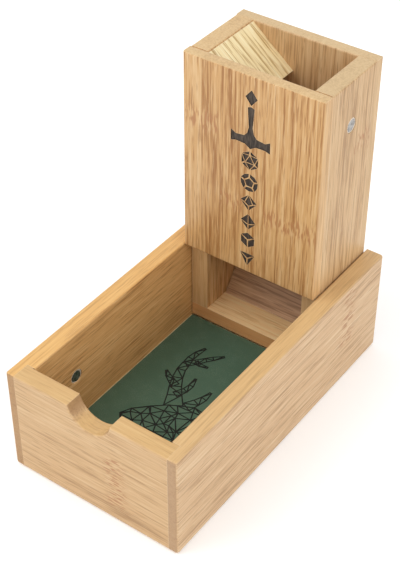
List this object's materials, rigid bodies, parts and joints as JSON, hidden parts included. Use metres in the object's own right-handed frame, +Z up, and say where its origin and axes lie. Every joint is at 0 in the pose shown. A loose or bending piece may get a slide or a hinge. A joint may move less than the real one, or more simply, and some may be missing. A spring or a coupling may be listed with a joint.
{
  "type": "folding dice tower",
  "caption": "Bamboo dice tray with a square dice tower that stands at its rear on hidden pivot pins, with inner baffles and an exit ramp, and folds down into the tray.",
  "frame": {"origin": "centre of the tray's footprint, on the table", "axes": "+Y towards the tower at the rear, +X to the right as seen from the finger notch, +Z up"},
  "size_m": [0.1, 0.181, 0.1774],
  "materials": {
    "bamboo": "satin",
    "pale_bamboo": "satin",
    "green_mat": "matte",
    "magnet_nickel": "polished",
    "pin_steel": "brushed"
  },
  "bodies": {
    "tray": {"tray_front_wall": "bamboo", "tray_left_wall": "bamboo", "tray_right_wall": "bamboo", "tray_base": "bamboo", "tray_rear_rail": "bamboo", "tray_mat": "green_mat", "tray_magnet_left": "magnet_nickel", "tray_magnet_right": "magnet_nickel"},
    "tower": {"tower_front_panel": "bamboo", "tower_back_panel": "bamboo", "tower_left_wall": "bamboo", "tower_right_wall": "bamboo", "tower_foot_board": "bamboo", "exit_ramp": "bamboo", "upper_baffle": "pale_bamboo", "middle_baffle": "pale_bamboo", "tower_magnet_left": "magnet_nickel", "tower_magnet_right": "magnet_nickel", "pivot_pin_left": "pin_steel", "pivot_pin_right": "pin_steel"}
  },
  "joints": [
    {"name": "tower_fold", "type": "hinge", "parent": "tray", "child": "tower", "pos_m": [0, 0.0634, 0.0363], "axis": [1, 0, 0], "range_deg": [0, 90]}
  ]
}
